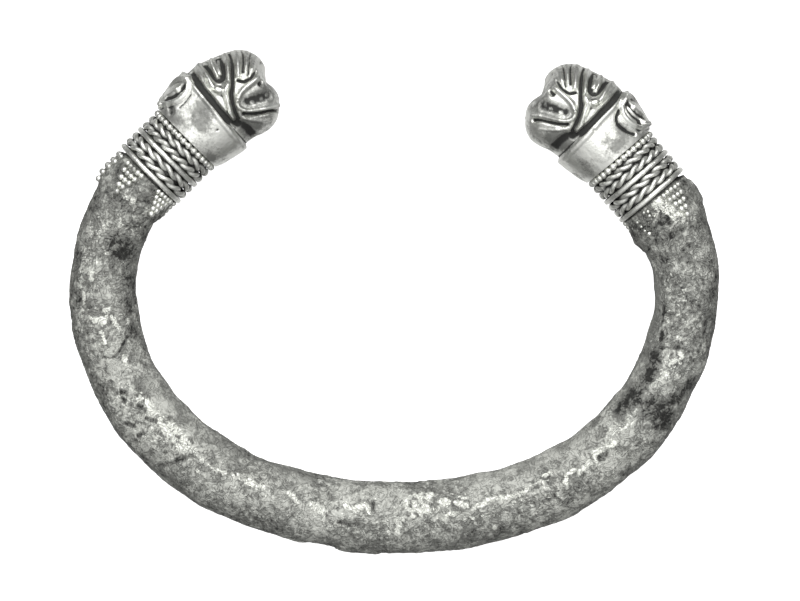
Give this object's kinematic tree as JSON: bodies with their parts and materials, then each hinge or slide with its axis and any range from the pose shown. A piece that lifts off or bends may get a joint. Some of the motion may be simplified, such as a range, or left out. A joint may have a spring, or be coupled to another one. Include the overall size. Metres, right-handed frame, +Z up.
{
  "type": "bracelet",
  "caption": "Open bracelet: a thick corroded round bar bent to an oval hoop, ending in snarling beast heads behind collars of beaded, plaited and plain wire with granulated triangles.",
  "frame": {"origin": "middle of the outline, at the level the bracelet rests on", "axes": "+Y from the hoop's back towards the gap between the heads, +Z up out of the hoop's plane, +X across the hoop"},
  "size_m": [0.0804, 0.0626, 0.0113],
  "materials": {
    "silver": "worn bright silver, dark in the recesses",
    "wirework": "bright wire and beads, dark between them",
    "crust": "corroded metal with bright flakes and dark patches"
  },
  "bodies": {
    "root": {"hoop": "crust", "left_beaded_ring": "wirework", "left_granules_1": "wirework", "left_granules_2": "wirework", "left_granules_3": "wirework", "left_granules_4": "wirework", "left_granules_5": "wirework", "left_head": "silver", "left_lower_plait_1": "wirework", "left_lower_plait_2": "wirework", "left_lower_wire": "wirework", "left_middle_wire": "wirework", "left_upper_plait_1": "wirework", "left_upper_plait_2": "wirework", "right_beaded_ring": "wirework", "right_granules_1": "wirework", "right_granules_2": "wirework", "right_granules_3": "wirework", "right_head": "silver", "right_lower_plait_1": "wirework", "right_lower_plait_2": "wirework", "right_lower_wire": "wirework", "right_middle_wire": "wirework", "right_upper_plait_1": "wirework", "right_upper_plait_2": "wirework"}
  },
  "joints": []
}
